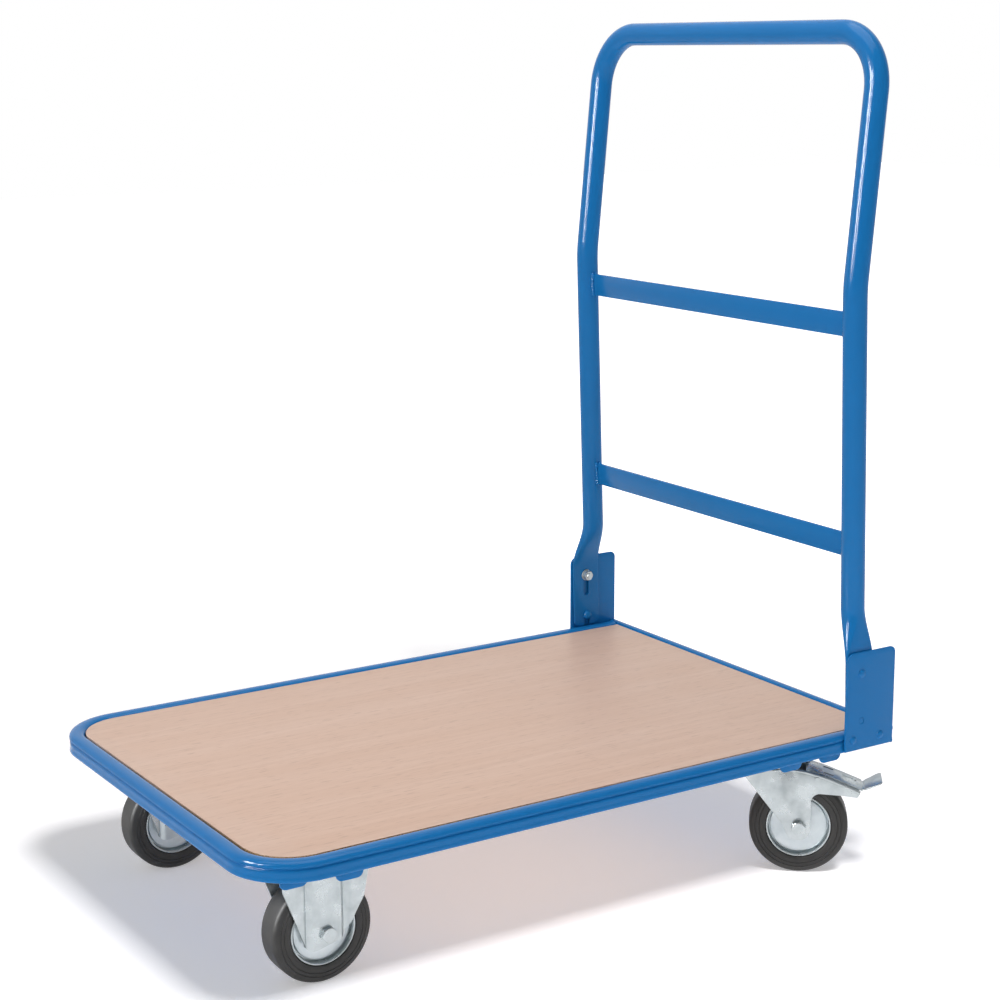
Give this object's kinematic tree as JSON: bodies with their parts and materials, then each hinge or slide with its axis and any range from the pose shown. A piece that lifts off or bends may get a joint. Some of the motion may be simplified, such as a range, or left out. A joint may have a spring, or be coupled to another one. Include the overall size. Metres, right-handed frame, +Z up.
{
  "type": "platform trolley",
  "caption": "Flat platform trolley with a steel-edged wooden deck, fixed and braked swivel casters, and a push handle that lifts and folds down.",
  "frame": {"origin": "on the floor under the middle of the platform", "axes": "+X towards the handle end, +Z up, +Y the side on the right of a person pushing from the handle end"},
  "size_m": [0.9, 0.6676, 1.0635],
  "materials": {
    "blue_paint": "glossy blue powder coat",
    "beech_board": "satin beech-decor board",
    "zinc_plate": "bright zinc plated steel",
    "black_rubber": "solid black rubber",
    "grey_nylon": "grey nylon"
  },
  "bodies": {
    "chassis": {"perimeter_frame": "blue_paint", "rear_rail": "blue_paint", "deck_board": "beech_board", "front_cross_member": "blue_paint", "rear_cross_member": "blue_paint", "handle_bracket_left": "blue_paint", "front_rivet_left": "blue_paint", "rear_rivet_left": "blue_paint", "lock_pin_left": "blue_paint", "front_fork_left": "zinc_plate", "front_left_axle_bolt": "zinc_plate", "front_left_axle_nut": "zinc_plate", "swivel_plate_left": "zinc_plate", "king_pin_left": "zinc_plate", "handle_bracket_right": "blue_paint", "front_rivet_right": "blue_paint", "rear_rivet_right": "blue_paint", "lock_pin_right": "blue_paint", "front_fork_right": "zinc_plate", "front_right_axle_bolt": "zinc_plate", "front_right_axle_nut": "zinc_plate", "swivel_plate_right": "zinc_plate", "king_pin_right": "zinc_plate"},
    "handle_pivots": {"pivot_bolt_left": "zinc_plate", "pivot_washer_left": "zinc_plate", "pivot_nut_left": "zinc_plate", "pivot_bolt_right": "zinc_plate", "pivot_washer_right": "zinc_plate", "pivot_nut_right": "zinc_plate"},
    "handle": {"handle_tube": "blue_paint", "upper_cross_bar": "blue_paint", "lower_cross_bar": "blue_paint"},
    "front_wheel_left": {"front_left_tyre": "black_rubber", "front_left_rim": "zinc_plate", "front_left_bearing": "grey_nylon"},
    "rear_wheel_left": {"rear_left_tyre": "black_rubber", "rear_left_rim": "zinc_plate", "rear_left_bearing": "grey_nylon"},
    "rear_swivel_left": {"ball_race_left": "zinc_plate", "swivel_fork_left": "zinc_plate", "rear_left_axle_bolt": "zinc_plate", "rear_left_axle_nut": "zinc_plate", "brake_pin_left": "zinc_plate"},
    "brake_left": {"brake_pedal_left": "zinc_plate", "brake_shoe_left": "grey_nylon"},
    "front_wheel_right": {"front_right_tyre": "black_rubber", "front_right_rim": "zinc_plate", "front_right_bearing": "grey_nylon"},
    "rear_wheel_right": {"rear_right_tyre": "black_rubber", "rear_right_rim": "zinc_plate", "rear_right_bearing": "grey_nylon"},
    "rear_swivel_right": {"ball_race_right": "zinc_plate", "swivel_fork_right": "zinc_plate", "rear_right_axle_bolt": "zinc_plate", "rear_right_axle_nut": "zinc_plate", "brake_pin_right": "zinc_plate"},
    "brake_right": {"brake_pedal_right": "zinc_plate", "brake_shoe_right": "grey_nylon"}
  },
  "joints": [
    {"name": "handle_fold", "type": "hinge", "parent": "chassis", "child": "handle_pivots", "pos_m": [0.39, 0, 0.263], "axis": [0, -1, 0], "range_deg": [0, 95]},
    {"name": "handle_lift", "type": "slide", "parent": "handle_pivots", "child": "handle", "axis": [-0.0332, 0, 0.9995], "range_m": [0, 0.026]},
    {"name": "front_wheel_left_spin", "type": "hinge", "parent": "chassis", "child": "front_wheel_left", "pos_m": [-0.3315, -0.2, 0.0625], "axis": [0, 1, 0], "continuous": true},
    {"name": "rear_swivel_left_turn", "type": "hinge", "parent": "chassis", "child": "rear_swivel_left", "pos_m": [0.3074, -0.2278, 0.141], "axis": [0, 0, 1], "continuous": true},
    {"name": "rear_wheel_left_spin", "type": "hinge", "parent": "rear_swivel_left", "child": "rear_wheel_left", "pos_m": [0.33651, -0.25223, 0.0625], "axis": [0.6428, 0.766, 0], "continuous": true},
    {"name": "brake_left_press", "type": "hinge", "parent": "rear_swivel_left", "child": "brake_left", "pos_m": [0.35336, -0.26637, 0.1285], "axis": [0.6428, 0.766, 0], "range_deg": [0, 6]},
    {"name": "front_wheel_right_spin", "type": "hinge", "parent": "chassis", "child": "front_wheel_right", "pos_m": [-0.3315, 0.2, 0.0625], "axis": [0, 1, 0], "continuous": true},
    {"name": "rear_swivel_right_turn", "type": "hinge", "parent": "chassis", "child": "rear_swivel_right", "pos_m": [0.3074, 0.2278, 0.141], "axis": [0, 0, 1], "continuous": true},
    {"name": "rear_wheel_right_spin", "type": "hinge", "parent": "rear_swivel_right", "child": "rear_wheel_right", "pos_m": [0.33651, 0.25223, 0.0625], "axis": [-0.6428, 0.766, 0], "continuous": true},
    {"name": "brake_right_press", "type": "hinge", "parent": "rear_swivel_right", "child": "brake_right", "pos_m": [0.35336, 0.26637, 0.1285], "axis": [-0.6428, 0.766, 0], "range_deg": [0, 6]}
  ]
}
